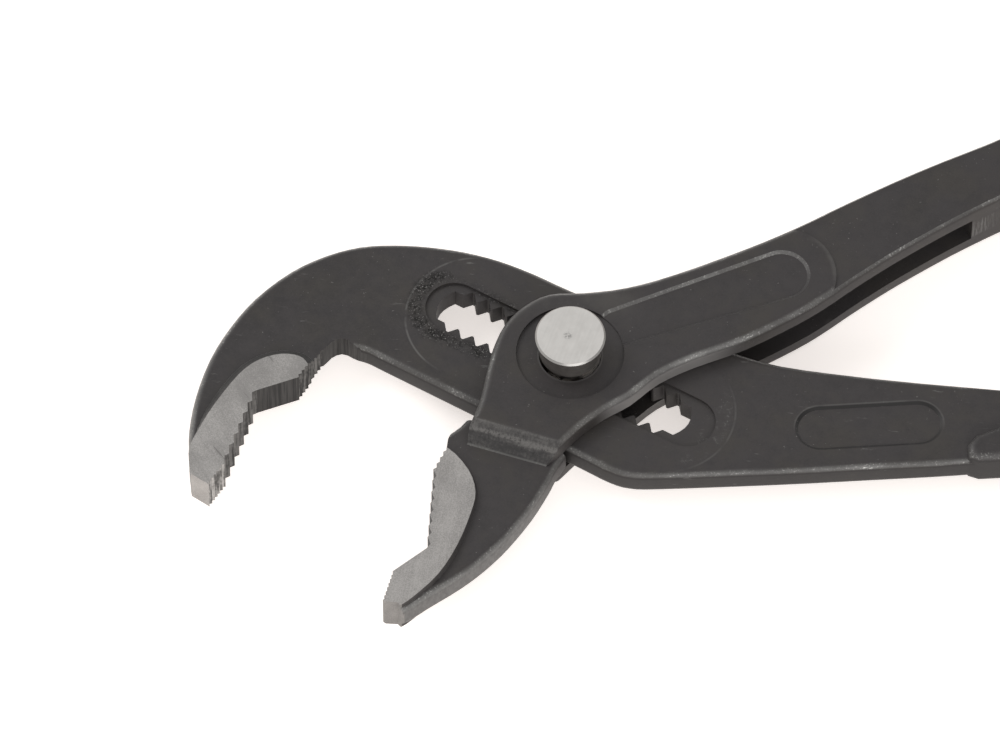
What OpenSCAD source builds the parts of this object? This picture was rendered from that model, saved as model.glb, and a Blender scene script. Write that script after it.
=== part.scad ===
// Water pump pliers with a push-button box joint, about 250 mm long.
// The joint axis stands on the origin, the rear cheek rests on z = 0, the button faces +Z,
// the jaws point to -X and the handles to +X. The jaws are open, as set for a 22 mm nut.

/* [Box joint] */
// Thickness over both cheeks of the box joint
head_t = 10.6; // [9.8:0.1:12.5]
// Thickness of the sliding blade
blade_t = 4.4; // [4:0.1:4.8]
// Running gap between the blade and each cheek
blade_gap = 0.15; // [0.1:0.05:0.3]
// Rounding of the forged edges of the cheeks
head_round = 1.2; // [0.5:0.1:1.3]
// Rounding of the forged edges of the blades and jaws
blade_round = 1.1; // [0.6:0.1:1.4]
// Width of the blade below the joint axis
blade_low = 12.4; // [11.8:0.1:12.8]
// Distance from the joint axis to the end of the slot between the cheeks
slot_reach = 62.6; // [58:0.2:66]
// Swing from the drawn pose to the closed stop, in degrees
swing_close = 14; // [8:1:16]
// Swing from the drawn pose to the open stop, in degrees
swing_open = 4; // [1:1:6]
// Gap between the blade's edge and the stops of the box joint
stop_gap = 0.35; // [0.2:0.05:0.6]

/* [Rack] */
// Slope of the toothed slot below the X axis, in degrees
rack_angle = 30; // [28:0.5:32]
// Pitch of the rack teeth
pitch = 2.4; // [2.3:0.02:2.44]
// Half the clear width between opposite tooth tips
tip_half = 2.65; // [2.5:0.05:2.9]
// Height of the rack teeth
tooth_h = 1.1; // [0.8:0.05:1.15]
// Flat of the rack's tooth tips and roots
tooth_flat = 0.3; // [0.2:0.05:0.5]
// Tooth tips on the jaw side of the drawn position
tips_left = 8; // [8:1:8]
// Tooth tips on the handle side of the drawn position
tips_right = 7; // [7:1:7]
// Plain length of the slot beyond its last tooth on the jaw side
lead_left = 1.2; // [1:0.1:1.4]
// Plain length of the slot beyond its last tooth on the handle side
lead_right = 1.5; // [1.5:0.1:1.7]
// Length of the slot's rounded ends
slot_nose = 1; // [0.9:0.1:1.2]
// Thickness of the toothed web
web_t = 3.5; // [3:0.1:3.8]
// Half width of the sunk track around the slot
track_r = 4.15; // [3.8:0.05:4.6]
// Half length of the track between its end centres
track_half = 19; // [18.6:0.1:19.4]

/* [Button and bolt] */
// Diameter of the round stem
stem_d = 8.7; // [8:0.1:9]
// Radial running gap of the stem and of the bolt in their bores
bore_gap = 0.1; // [0.05:0.05:0.2]
// Diameter of the button's face
button_d = 10; // [9.6:0.1:11]
// Height of the button's face above its sunk ring
button_h = 5.2; // [4.8:0.1:7]
// Thickness of the button's lip
lip_t = 0.55; // [0.4:0.05:0.9]
// Diameter of the sunk ring round the button
ring_d = 15.4; // [13:0.1:16.4]
// Depth of the sunk ring
ring_depth = 0.5; // [0.3:0.05:0.8]
// Diameter of the ears that stop the bolt behind the front cheek
ear_d = 9.3; // [9.2:0.1:9.4]
// Axial gap between the bolt and what it stops on
seat_gap = 0.05; // [0.03:0.01:0.1]
// Axial gap between the pressed bolt, the web and the rear cap
press_gap = 0.15; // [0.1:0.05:0.25]
// Diameter of the spigot that carries the button
spigot_d = 6; // [5.4:0.1:6.6]
// Diameter of the rear cap's post
post_d = 3.2; // [2.8:0.1:3.4]
// Thickness of the rear cap's disc
cap_t = 0.5; // [0.4:0.05:0.6]
// Thickness of the retaining ring
clip_t = 0.5; // [0.4:0.05:0.6]
// Radial depth of the retaining ring's groove
groove_depth = 0.55; // [0.4:0.05:0.8]
// Thickness of the button above its spigot
button_roof = 1.8; // [1.4:0.1:2]
// Thickness of the spigot above the spring
spigot_roof = 0.5; // [0.4:0.05:0.8]
// Length of the rear cap's post inside the bolt
post_reach = 1.2; // [0.8:0.1:1.4]
// Width of the retaining ring
clip_w = 1.7; // [1.4:0.05:1.9]
// Opening of the retaining ring
clip_open = 1.8; // [1.2:0.1:2.6]
// Wire diameter of the return spring
wire_d = 0.45; // [0.35:0.05:0.5]
// Coils of the return spring
coils = 6; // [5:1:7]

/* [Jaws] */
// Thickness of the jaws over their ground pads
jaw_t = 6.2; // [5.4:0.1:7]
// Large teeth on the hooked jaw
hook_teeth = 7; // [5:1:9]
// Large teeth on the fixed jaw
fixed_teeth = 7; // [6:1:9]
// Depth of the large teeth
big_depth = 0.52; // [0.36:0.02:0.7]
// Depth of the fine teeth
fine_depth = 0.3; // [0.2:0.02:0.4]
// Width of the ramp that leads up to the hooked jaw's pad
hook_ramp = 2.4; // [1:0.1:3]
// Width of the ramp that leads up to the fixed jaw's pad
fixed_ramp = 0.7; // [0.4:0.1:1.5]
// Distance from the joint axis to the top of the shelf above the fixed jaw
shelf_top = 14.4; // [13.6:0.1:15]
// Distance from the joint axis to the foot of that shelf
shelf_foot = 17.2; // [16.4:0.1:17.8]
// Slope of the shelf below the X axis, in degrees
shelf_slope = 18; // [15:1:21]
// Radius of the rounding along the top of the shelf
shelf_soft = 2; // [1:0.1:2.6]

/* [Panels] */
// Depth of the bare panel on the upper handle
upper_panel_depth = 0.35; // [0.2:0.05:0.6]
// Depth of the bare panel on the lower handle
lower_panel_depth = 0.3; // [0.2:0.05:0.5]
// Radius of the upper panel's far end
upper_panel_r = 4.1; // [3.4:0.1:4.6]
// How much smaller the upper panel's near end is
panel_taper = 0.9; // [0:0.1:1.5]
// Radius of the lower panel's ends
lower_panel_r = 3.6; // [2.8:0.1:3.8]
// Width of the raised face around the upper panel's far end
panel_rim = 3.7; // [3:0.1:4.4]
// Drop of the handle's face behind the joint
handle_step = 0.3; // [0.1:0.05:0.5]
// Width of the slope round both panels
panel_draft = 0.45; // [0.2:0.05:0.7]

/* [Handles and grips] */
// Thickness of the forged tangs in the grips
tang_t = 6.8; // [6:0.1:7.6]
// Width of the forged tangs in the grips
tang_w = 8.6; // [8:0.1:9.2]
// Length of the handles from their shoulders
handle_len = 118; // [90:1:140]
// Direction of the upper handle at its shoulder, in degrees
upper_angle = 26; // [24:0.5:28]
// Turn of the upper handle towards its end, in degrees
upper_turn = -14; // [-20:1:-6]
// Direction of the lower handle at its shoulder, in degrees
lower_angle = -4; // [-8:0.5:0]
// Turn of the lower handle towards its end, in degrees
lower_turn = 6; // [0:1:12]
// Width of the grips at their waist
grip_w = 14.6; // [13:0.2:18]
// Gap between a grip and its tang
grip_gap = 0.05; // [0.03:0.01:0.15]
// Length of tang that stays bare at the shoulder
grip_start = 3.2; // [3:0.2:12]
// Rounding of the grips along their edges
grip_round = 4.2; // [3:0.1:5]
// Length of the grips' round ends
grip_tip = 4; // [3:0.5:5]
// Thickness of the grips' closed ends
grip_end = 5; // [3:0.5:8]

/* [Hidden] */
$fn = 64;
far = 100;
skin = 0.01;
rim_bite = 0.3;
steel = [0.28, 0.28, 0.27];
bright = [0.78, 0.77, 0.75];
charcoal = [0.16, 0.16, 0.17];

// Heights in the joint
mid = head_t / 2;
slot_t = blade_t + 2 * blade_gap;
slot_hi = mid + slot_t / 2;
web_lo = mid - web_t / 2;
web_hi = mid + web_t / 2;
ring_z = head_t - ring_depth;
button_z = ring_z + button_h;

// Heights of the bolt, worked up from the retaining ring
clip_lo = 0.2;
cap_lo = clip_lo + clip_t;
cap_hi = cap_lo + cap_t;
travel = web_t;
teeth_h = web_lo - cap_hi - 2 * press_gap;
teeth_hi = web_hi - press_gap;
teeth_lo = teeth_hi - teeth_h;
stem_lo = web_hi + travel + press_gap;
spigot_h = button_z - stem_lo - button_roof;
spring_bore_d = post_d + 2 * bore_gap;
spring_top = stem_lo + spigot_h - spigot_roof;
post_hi = teeth_lo + post_reach;
bore_d = stem_d + 2 * bore_gap;
rear_bore_d = ear_d + 4 * bore_gap;

// Turns a point of the rack's frame, along and across the slot, into the drawing's frame
function rack(along, across) = [
  along * cos(rack_angle) + across * sin(rack_angle),
  across * cos(rack_angle) - along * sin(rack_angle)];
function polar(r, a) = [r * cos(a), r * sin(a)];
function lerp(a, b, u) = a + (b - a) * u;

// Smooth closed curve through hand-set points, with the given number of steps between them
function knot(p, i) = p[(i + len(p)) % len(p)];
function blend(a, b, c, d, u) =
  b + (c - a) * u / 2 + (2 * a - 5 * b + 4 * c - d) * u * u / 2
  + (3 * b - a - 3 * c + d) * u * u * u / 2;
function curve(p, steps) = [for (i = [0:len(p) - 1], k = [0:steps - 1])
  blend(knot(p, i - 1), p[i], knot(p, i + 1), knot(p, i + 2), k / steps)];

// One level of a solid: an outline with its sides moved inwards, at a height
function flat(p) = [p[0], p[1]];
function inward(a, b) = let (d = flat(b) - flat(a)) [-d[1], d[0]] / norm(d);
function mitre(p, i) = let (a = inward(knot(p, i - 1), p[i]), b = inward(p[i], knot(p, i + 1)))
  (a + b) / (1 + a * b);
function level(p, inset, z) = [for (i = [0:len(p) - 1])
  let (q = flat(p[i]) + inset * mitre(p, i)) [q[0], q[1], z]];

// Skin over a stack of levels that all have the same number of points, with flat convex ends
function band(k, next, n) = [for (i = [0:n - 1]) each
  let (j = (i + 1) % n, a = k * n, b = next * n)
  [[a + i, b + i, b + j], [a + i, b + j, a + j]]];
module skinned(levels) {
  n = len(levels[0]);
  top = len(levels) - 1;
  sides = [for (k = [0:top - 1]) each band(k, k + 1, n)];
  ends = [[for (i = [0:n - 1]) i], [for (i = [n - 1:-1:0]) top * n + i]];
  polyhedron([for (l = levels) each l], concat(sides, ends));
}

// Ring-shaped skin: its last level meets the first
module ringed(levels) {
  n = len(levels[0]);
  count = len(levels);
  polyhedron([for (l = levels) each l], [for (k = [0:count - 1]) each band(k, (k + 1) % count, n)]);
}

// Forged plate of the joint's middle plane: a flat core in a rim with round edges on both faces
module forging(outline, thick, round) {
  arc = [for (k = [0:3]) [round * (1 - sin(30 * k)), thick / 2 - round * (1 - cos(30 * k))]];
  low = [for (a = arc) level(outline, a[0], mid - a[1])];
  high = [for (k = [3:-1:0]) level(outline, arc[k][0], mid + arc[k][1])];
  prism([for (q = low[0]) flat(q)], mid - thick / 2, mid + thick / 2);
  ringed(concat(low, high, [level(outline, round + rim_bite, mid)]));
}

// Outline with two round ends and the straight sides that touch them both
function round_ended(a, b, ra, rb) =
  let (d = b - a, way = atan2(d[1], d[0]), half = acos((ra - rb) / norm(d)), n = 24)
  concat([for (k = [0:n]) b + polar(rb, way + lerp(-half, half, k / n))],
         [for (k = [0:n]) a + polar(ra, way + lerp(half, 360 - half, k / n))]);

module prism(outline, z0, z1) {
  translate([0, 0, z0]) linear_extrude(z1 - z0) polygon(outline);
}

// Ground pad on both faces of a jaw: its points carry the share of the ramp that leads up to them
function ramp_foot(p, ramp, z) = [for (i = [0:len(p) - 1])
  level(p, -ramp * p[i][2], z)[i]];
module pad(outline, ramp) {
  half = jaw_t / 2;
  foot = blade_t / 2 - blade_round;
  prism([for (q = outline) flat(q)], mid - half, mid + half);
  ringed([level(outline, 0, mid - half), ramp_foot(outline, ramp, mid - foot),
          ramp_foot(outline, ramp, mid + foot), level(outline, 0, mid + half),
          level(outline, rim_bite, mid)]);
}

// Row of saw teeth from a to b: each drops by depth on the right of the way and rises again
function teeth(a, b, count, depth, steep) =
  let (d = (b - a) / count, n = [d[1], -d[0]] / norm(d))
  [for (i = [0:count - 1]) each [a + i * d, a + (i + steep) * d + depth * n]];

// Handle's axis: a flat arc from its shoulder
function bow(start, angle, turn, s) =
  let (a = angle + turn * s / handle_len / 2) start + s * [cos(a), sin(a)];
function bow_angle(angle, turn, s) = angle + turn * s / handle_len;
function beside(start, angle, turn, s, w) =
  bow(start, angle, turn, s) + polar(w, bow_angle(angle, turn, s) + 90);

// Fixed arm: head, handle and jaw
upper_start = [66.8, 33.7];
lower_start = [70, -11.2];

function head_outline() = curve([
  [-14.4, -14.2], [-12, -16.6], [-8, -18], [-4.9, -17.7], [-3, -16.6], [-1.4, -15.15], [0.2, -13.4],
  [2, -11.6], [5, -9.2], [8.5, -7], [12.5, -3.5], [17.5, -0.8], [25, 2.3], [32.5, 6.55], [36.5, 9.3],
  [40, 12.05], [43.2, 14.45], [47.5, 17.5], [55, 22.35], [62, 26.35], [66.2, 28.4], [69.2, 30.4],
  [69.6, 33], [67.8, 36.8], [65.2, 38], [60, 35.65], [50, 30.98],
  [40, 25.72], [32.5, 21.5], [25, 17.83], [15, 13.6], [8, 11.35], [2, 10.5],
  [-3, 10.2], [-6.6, 8.2], [-9.3, 5.2], [-10.9, 1.4], [-11.9, -2.8], [-12.9, -7.6], [-14.2, -11.4]], 3);

function fixed_jaw_outline() = curve([
  [-3, -8], [-9, -6.5], [-13, -7.1], [-15.6, -10], [-18.4, -12.4], [-20.6, -16], [-22.2, -23],
  [-22.2, -29.5], [-27.3, -33.4], [-28.6, -38.5], [-27, -41.2], [-23.3, -40.4], [-20, -38.1],
  [-15.5, -34.95], [-12.1, -32.05], [-8.75, -28.4], [-5.35, -23.65], [-3.05, -19.5], [-2.1, -17.4],
  [-0.6, -14.9], [0.2, -12.6], [-0.4, -10]], 3);

function fixed_pad_outline() = curve([
  [-17.2, -14.5, 0.5], [-19.6, -14.6, 0], [-22.4, -22, 0], [-22.6, -29.6, 0], [-28, -33.6, 0],
  [-28.6, -37.5, 0], [-27.2, -40.6, 0], [-24.4, -40.3, 0], [-22.2, -38.8, 0.2], [-18.6, -35, 1],
  [-15.9, -30.2, 1], [-14.1, -25.2, 1], [-13.4, -21.6, 1], [-14.4, -18, 1]], 3);

// Gripping edge of the fixed jaw, from its root to its tip
fixed_root = [-17.5, -14.1];
fixed_top = [-19.35, -17.9];
fixed_low = [-20.25, -30.85];
fixed_heel = [-25, -34.6];
fixed_tip = [-26.35, -39.2];
fixed_root_fine = 4;
fixed_tip_fine = 7;
function fixed_grip() = concat(
  [[-16.9, -11.2], [-17.3, -12.4], fixed_root],
  teeth(fixed_root, fixed_top, fixed_root_fine, -fine_depth, 0.6),
  teeth(fixed_top, fixed_low, fixed_teeth, -big_depth, 0.6),
  [fixed_low],
  teeth(fixed_heel, fixed_tip, fixed_tip_fine, -fine_depth, 0.6),
  [fixed_tip, [-26, -39.5], [-24.3, -39.6], [-22.4, -41.6], [-30, -44], [-40, -44], [-40, -11.2]]);

// Slot between the cheeks: two stops for the blade's edge, and the milled end in the handle
slot_way = 22;
stop_r = blade_low + stop_gap;
close_a = -rack_angle + swing_close;
open_a = -rack_angle - swing_open;
stop_peak = stop_r / cos((close_a - open_a) / 2);
function slot_outline() =
  let (peak = polar(stop_peak, -90 + (close_a + open_a) / 2),
       end = polar(slot_reach, slot_way))
  [peak - polar(far, close_a), peak, peak + polar(far, open_a),
   end + polar(far, upper_angle - 90), end + polar(far, upper_angle + 90)];

panel_near = [7, 4.4];
panel_far = [30.2, 13.1];
face_angle = 34;

// Space beyond the shelf above the fixed jaw, over one face: three planes that round its top edge
module shelf_cut() {
  slope = atan2(head_t / 2 - blade_t / 2, shelf_foot - shelf_top);
  start = shelf_top - shelf_soft * tan(slope / 2);
  rotate([0, 0, -shelf_slope - 90]) for (k = [1:3]) {
    a = slope * k / 3;
    translate([start + shelf_soft * sin(a), 0, head_t - shelf_soft * (1 - cos(a))])
      rotate([0, a, 0]) translate([-far, -far, 0]) cube([2 * far, 2 * far, far]);
  }
}

// Bare panel with sloped walls, sunk into a face at the height z
module panel(outline, depth, z) {
  skinned([level(outline, panel_draft, z - depth), level(outline, -panel_draft, z + depth)]);
}

module both_faces() {
  children();
  translate([0, 0, head_t]) mirror([0, 0, 1]) children();
}

module outer_arm() {
  color(steel)
  difference() {
    union() {
      difference() {
        forging(head_outline(), head_t, head_round);
        both_faces() shelf_cut();
        both_faces() translate([0, 0, head_t - handle_step]) linear_extrude(far) difference() {
          translate(panel_far) rotate(face_angle) translate([0, -far]) square([far, 2 * far]);
          translate(panel_far) circle(r = upper_panel_r + panel_rim);
        }
      }
      forging(fixed_jaw_outline(), blade_t, blade_round);
      pad(fixed_pad_outline(), fixed_ramp);
      forging(upper_tang_outline(), tang_t, tang_round);
    }
    prism(slot_outline(), mid - slot_t / 2, slot_hi);
    prism(fixed_grip(), -1, head_t + 1);
    translate([0, 0, mid]) cylinder(d = bore_d, h = head_t);
    translate([0, 0, ring_z]) cylinder(d = ring_d, h = head_t);
    translate([0, 0, -1]) cylinder(d = rear_bore_d, h = mid + 1);
    translate([0, 0, clip_lo]) cylinder(d = rear_bore_d + 2 * groove_depth, h = clip_t);
    panel(round_ended(panel_near, panel_far, upper_panel_r - panel_taper, upper_panel_r),
          upper_panel_depth, head_t);
  }
}

// Tang of a handle: a strip along its axis with a blunt end
tang_len = handle_len - grip_end - 1;
tang_round = 1.4;
tang_nose = 2;
function tang_side(start, angle, turn, side, s0) = [for (k = [0:10])
  beside(start, angle, turn, lerp(s0, tang_len - tang_nose, k / 10), side * tang_w / 2)];
function tang_strip(start, angle, turn, s0) = concat(
  tang_side(start, angle, turn, -1, s0),
  [for (side = [-1, 1]) beside(start, angle, turn, tang_len, side * (tang_w / 2 - tang_nose))],
  reversed(tang_side(start, angle, turn, 1, s0)));
function upper_tang_outline() = tang_strip(upper_start, upper_angle, upper_turn, -6);

// Sliding arm: hooked jaw, toothed blade and lower handle
function blade_outline() = curve([
  rack(-26, -blade_low), rack(-24, -blade_low), rack(-20, -blade_low), rack(-12, -blade_low),
  rack(0, -blade_low), rack(9, -blade_low), rack(13.5, -blade_low), [8.4, -18.45], [13, -18.55],
  [30, -17.82], [42, -17.1], [52, -16.5], [58, -16], [64, -15.4], [68.5, -14.4], [70.4, -12.2],
  [70.5, -8.8], [69.2, -6.2], [66, -4.5], [50, -2.75], [40, -1.52], [30, 0.1], [23.5, 2.2],
  [16, 5.3], [8, 8.9], [0, 12.8], [-5, 15.5], [-10, 17.75], [-15, 19.25], [-20, 20.1], [-25, 20.43],
  [-30, 20.1], [-35, 18.55], [-39.95, 15.8], [-44.9, 11.35], [-48.5, 6.45], [-51.25, 1.15],
  [-53.13, -5], [-53.95, -10.5], [-53.9, -14.5], [-53.75, -16.9], [-53.4, -18.8], [-51.8, -20.9],
  [-49.2, -20], [-46.4, -16], [-43.6, -8.6], [-41, -6.2], [-37.6, -5], [-35.4, -2], [-33.6, 1.4],
  [-32, 3], [-30.3, 2.8]], 3);

function hook_pad_outline() = curve([
  [-53.85, -14.4, 0], [-53.75, -17, 0], [-53.3, -19.4, 0], [-51.4, -21.2, 0], [-48.8, -20.4, 0],
  [-45.4, -15, 0], [-42.8, -7.5, 0], [-38, -5.6, 0], [-36.2, -2.4, 0.3], [-37.2, -0.5, 1],
  [-38.4, 0.8, 1], [-41, 1.2, 1], [-44.2, 0.2, 1], [-47, -2.2, 1], [-50.4, -7.2, 0.8],
  [-52.6, -11.4, 0.3]], 3);

// Gripping edge of the hooked jaw, from its tip to its root
hook_tip = [-51, -20.4];
hook_low = [-48.8, -17.1];
hook_top = [-44.4, -4.85];
hook_heel = [-38.5, -2.7];
hook_root = [-35.1, 2.4];
hook_tip_fine = 6;
hook_root_fine = 8;
function hook_grip() = concat(
  [[-50, -26], [-55.4, -17.4], hook_tip],
  teeth(hook_tip, hook_low, hook_tip_fine, -fine_depth, 0.5),
  teeth(hook_low, hook_top, hook_teeth, -big_depth, 0.7),
  [hook_top],
  teeth(hook_heel, hook_root, hook_root_fine, -fine_depth, 0.5),
  [hook_root, [-34.5, 3.05], [-33.95, 3.7], [-33.25, 4.15], [-32.5, 4.35], [-31.7, 4.15], [-30.8, 3.5],
   [-29.5, 2.5], [-28, -2], [-38, -26]]);

// Toothed slot for the bolt that runs in it, with plain blunt ends
function rack_side(side) =
  let (flat = tooth_flat / 2, rise = pitch / 2 - tooth_flat, root = tip_half + tooth_h)
  [for (i = [-tips_left:tips_right - 1]) each [
    rack(i * pitch + flat, side * tip_half), rack(i * pitch + flat + rise, side * root),
    rack(i * pitch + 3 * flat + rise, side * root), rack((i + 1) * pitch - flat, side * tip_half)]];
function reversed(p) = [for (i = [len(p) - 1:-1:0]) p[i]];

slot_blunt = [[0, -1], [0.55, -0.66], [0.9, -0.3], [1, 0], [0.9, 0.3], [0.55, 0.66], [0, 1]];
function slot_end(t, way) = [for (q = slot_blunt)
  rack(t + way * q[0] * slot_nose, way * q[1] * tip_half)];
function rack_slot() = concat(
  rack_side(-1), slot_end(tips_right * pitch + lead_right, 1),
  reversed(rack_side(1)), slot_end(-tips_left * pitch - lead_left, -1));

function track() = round_ended(rack(-track_half, 0), rack(track_half, 0), track_r, track_r);

// Thick forging of the lower handle, with the slanted shoulder where the blade ends
function lower_tang_outline() = concat(
  tang_strip(lower_start, lower_angle, lower_turn, 2),
  [[67, -7.6], [60.8, -10.6], [57.3, -12.1], [56.05, -13.7], [56.15, -15.7], [57.8, -16.3], [63, -16]]);

module inner_arm() {
  color(steel)
  difference() {
    union() {
      forging(blade_outline(), blade_t, blade_round);
      pad(hook_pad_outline(), hook_ramp);
      forging(lower_tang_outline(), tang_t, tang_round);
    }
    prism(hook_grip(), -1, head_t + 1);
    prism(rack_slot(), 0, head_t);
    prism(track(), web_hi, head_t);
    prism(track(), 0, web_lo);
    panel(round_ended([35.4, -10.6], [49.2, -9.7], lower_panel_r, lower_panel_r),
          lower_panel_depth, mid + blade_t / 2);
  }
}

// Bolt: toothed collar, stop ears, flat-sided neck and button spigot, bored for the spring
flat_half = tip_half - 2 * bore_gap;
ear_half = flat_half - 0.25;
module across_flats(d, half, z0, z1) {
  translate([0, 0, z0]) linear_extrude(z1 - z0) intersection() {
    circle(d = d);
    rotate(-rack_angle) square([2 * d, 2 * half], center = true);
  }
}

// Teeth of the collar: their flanks start inside the stem, at tooth_bite below its flats
tooth_bite = 0.12;
module collar_teeth() {
  flat = tooth_flat / 2;
  half = flat + (pitch / 2 - tooth_flat) * (1 + tooth_bite / tooth_h);
  base = flat_half - tooth_bite;
  tip = flat_half + tooth_h;
  for (side = [-1, 1], i = [-0.5, 0.5]) prism([
    rack(i * pitch - half, 0), rack(i * pitch + half, 0),
    rack(i * pitch + half, side * base), rack(i * pitch + flat, side * tip),
    rack(i * pitch - flat, side * tip), rack(i * pitch - half, side * base)],
    teeth_lo, teeth_hi);
}

module hinge_bolt() {
  color(bright)
  difference() {
    union() {
      across_flats(ear_d, ear_half, teeth_lo, slot_hi - seat_gap);
      across_flats(stem_d, flat_half, teeth_lo, stem_lo);
      collar_teeth();
      translate([0, 0, stem_lo - skin]) cylinder(d = spigot_d, h = spigot_h + skin);
    }
    translate([0, 0, teeth_lo - 1]) cylinder(d = spring_bore_d, h = spring_top - teeth_lo + 1);
  }
}

// Button: its nose dips into the track when it is pressed
nose_r = min(stem_d / 2 - seat_gap, track_r - bore_gap);
nose_hi = stem_lo + (blade_t - web_t) / 2;
module push_button() {
  edge = 0.25;
  color(bright)
  difference() {
    rotate_extrude() polygon([
      [0, stem_lo], [nose_r, stem_lo], [nose_r, nose_hi], [stem_d / 2, nose_hi],
      [stem_d / 2, button_z - lip_t],
      [button_d / 2, button_z - edge], [button_d / 2 - edge, button_z], [0, button_z]]);
    translate([0, 0, stem_lo - 1]) cylinder(d = spigot_d + 2 * skin, h = spigot_h + 1 + seat_gap);
  }
}

// Spring: one tube along a helix, of hexagonal wire
spring_r = post_d / 2 - wire_d / 2 - bore_gap;
spring_z0 = post_hi + wire_d / 2 + seat_gap;
spring_z1 = spring_top - wire_d / 2 - seat_gap;
function spring_ring(a) =
  let (c = [spring_r * cos(a), spring_r * sin(a), lerp(spring_z0, spring_z1, a / 360 / coils)],
       slope = atan2((spring_z1 - spring_z0) / coils, 360 * spring_r * PI / 180))
  [for (k = [0:5]) let (b = -60 * k, u = wire_d / 2 * cos(b), v = wire_d / 2 * sin(b))
    c + u * [cos(a), sin(a), 0] + v * [sin(a) * sin(slope), -cos(a) * sin(slope), cos(slope)]];
spring_gap = (spring_z1 - spring_z0) / coils - wire_d;
echo(spring_gap = spring_gap);

module return_spring() {
  steps = 10 * coils;
  color(bright) skinned([for (i = [0:steps]) spring_ring(360 * coils * i / steps)]);
}

module rear_cap() {
  color(steel) {
    translate([0, 0, cap_lo]) cylinder(d = rear_bore_d - 2 * bore_gap, h = cap_t);
    translate([0, 0, cap_hi - skin]) cylinder(d = post_d, h = post_hi - cap_hi + skin);
  }
}

// Open ring that snaps into the groove of the rear bore
module retaining_ring() {
  outer = rear_bore_d / 2 + groove_depth - bore_gap;
  color(bright) translate([0, 0, clip_lo]) difference() {
    cylinder(r = outer, h = clip_t - seat_gap);
    translate([0, 0, -1]) cylinder(r = outer - clip_w, h = clip_t + 2);
    translate([0, -clip_open / 2, -1]) cube([far, clip_open, clip_t + 2]);
  }
}

// Grip: one skin from the bottom of its bore, out at the mouth and over the closed end
function oblong(w, t, r) = [for (q = [0:3], k = [0:4])
  let (sx = [1, -1, -1, 1][q], sy = [1, 1, -1, -1][q], a = 90 * q + 22.5 * k)
  [sx * (w / 2 - r) + r * cos(a), sy * (t / 2 - r) + r * sin(a)]];
function section(start, angle, turn, s, w, t, r) =
  let (c = bow(start, angle, turn, s), a = bow_angle(angle, turn, s))
  [for (p = oblong(w, t, r)) [c[0] - p[0] * sin(a), c[1] + p[0] * cos(a), mid + p[1]]];
grip_swell = 1.6;
grip_flare = 2.2;
function grip_width(u) =
  grip_w + grip_swell * sin(180 * u) * sin(180 * u) * (1 - u) + grip_flare * u * u;

module grip(start, angle, turn) {
  n = 14;
  mouth_lip = 1.2;
  deep = handle_len - grip_end;
  full = handle_len - grip_tip;
  bore = [for (k = [n:-1:0]) section(start, angle, turn, lerp(grip_start, deep, k / n),
    tang_w + 2 * grip_gap, tang_t + 2 * grip_gap, tang_round - grip_gap)];
  body = [for (k = [0:n]) let (s = lerp(grip_start, full, k / n), lip = k == 0 ? mouth_lip : 0)
    section(start, angle, turn, s, grip_width(k / n) - lip, head_t - lip, grip_round - lip)];
  tip = [for (k = [1:4]) let (e = grip_tip * (1 - cos(22.5 * k)))
    section(start, angle, turn, full + grip_tip * sin(22.5 * k), grip_width(1) - 2 * e,
      head_t - e, grip_round - e / 2)];
  skinned(concat(bore, body, tip));
}

module upper_grip() { color(charcoal) grip(upper_start, upper_angle, upper_turn); }
module lower_grip() { color(charcoal) grip(lower_start, lower_angle, lower_turn); }

outer_arm();
inner_arm();
hinge_bolt();
push_button();
return_spring();
rear_cap();
retaining_ring();
upper_grip();
lower_grip();
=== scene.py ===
import math
from collections import namedtuple

import bmesh
import bpy
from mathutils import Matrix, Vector


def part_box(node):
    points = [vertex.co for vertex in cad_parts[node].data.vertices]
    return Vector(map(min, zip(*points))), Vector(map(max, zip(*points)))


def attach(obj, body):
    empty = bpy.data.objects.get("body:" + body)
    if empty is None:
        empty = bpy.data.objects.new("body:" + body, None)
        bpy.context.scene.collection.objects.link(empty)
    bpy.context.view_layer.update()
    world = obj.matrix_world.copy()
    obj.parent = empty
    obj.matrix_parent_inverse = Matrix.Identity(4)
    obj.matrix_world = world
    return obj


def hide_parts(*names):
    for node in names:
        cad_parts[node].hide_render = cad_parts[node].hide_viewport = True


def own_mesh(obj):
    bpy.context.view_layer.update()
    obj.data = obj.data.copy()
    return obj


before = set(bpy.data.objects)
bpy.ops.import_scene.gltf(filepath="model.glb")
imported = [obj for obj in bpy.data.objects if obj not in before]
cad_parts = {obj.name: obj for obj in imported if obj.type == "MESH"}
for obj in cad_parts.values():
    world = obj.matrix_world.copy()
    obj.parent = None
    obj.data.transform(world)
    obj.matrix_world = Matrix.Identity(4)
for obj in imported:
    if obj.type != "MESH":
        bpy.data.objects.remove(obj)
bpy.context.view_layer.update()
MM = 0.001

# Joint, as the solids have it: middle height, half thickness of the blade and of the jaws over
# their pads, floor of the sunk ring, edge of the button's bore in it, and travel of the button
MIDDLE = 5.3 * MM
BLADE_HALF = 2.2 * MM
PAD_HALF = 3.1 * MM
RING_FLOOR = 10.1 * MM
BORE_R = 4.45 * MM

# Return spring
WIRE_R = 0.225 * MM
COILS = 6.0

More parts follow.
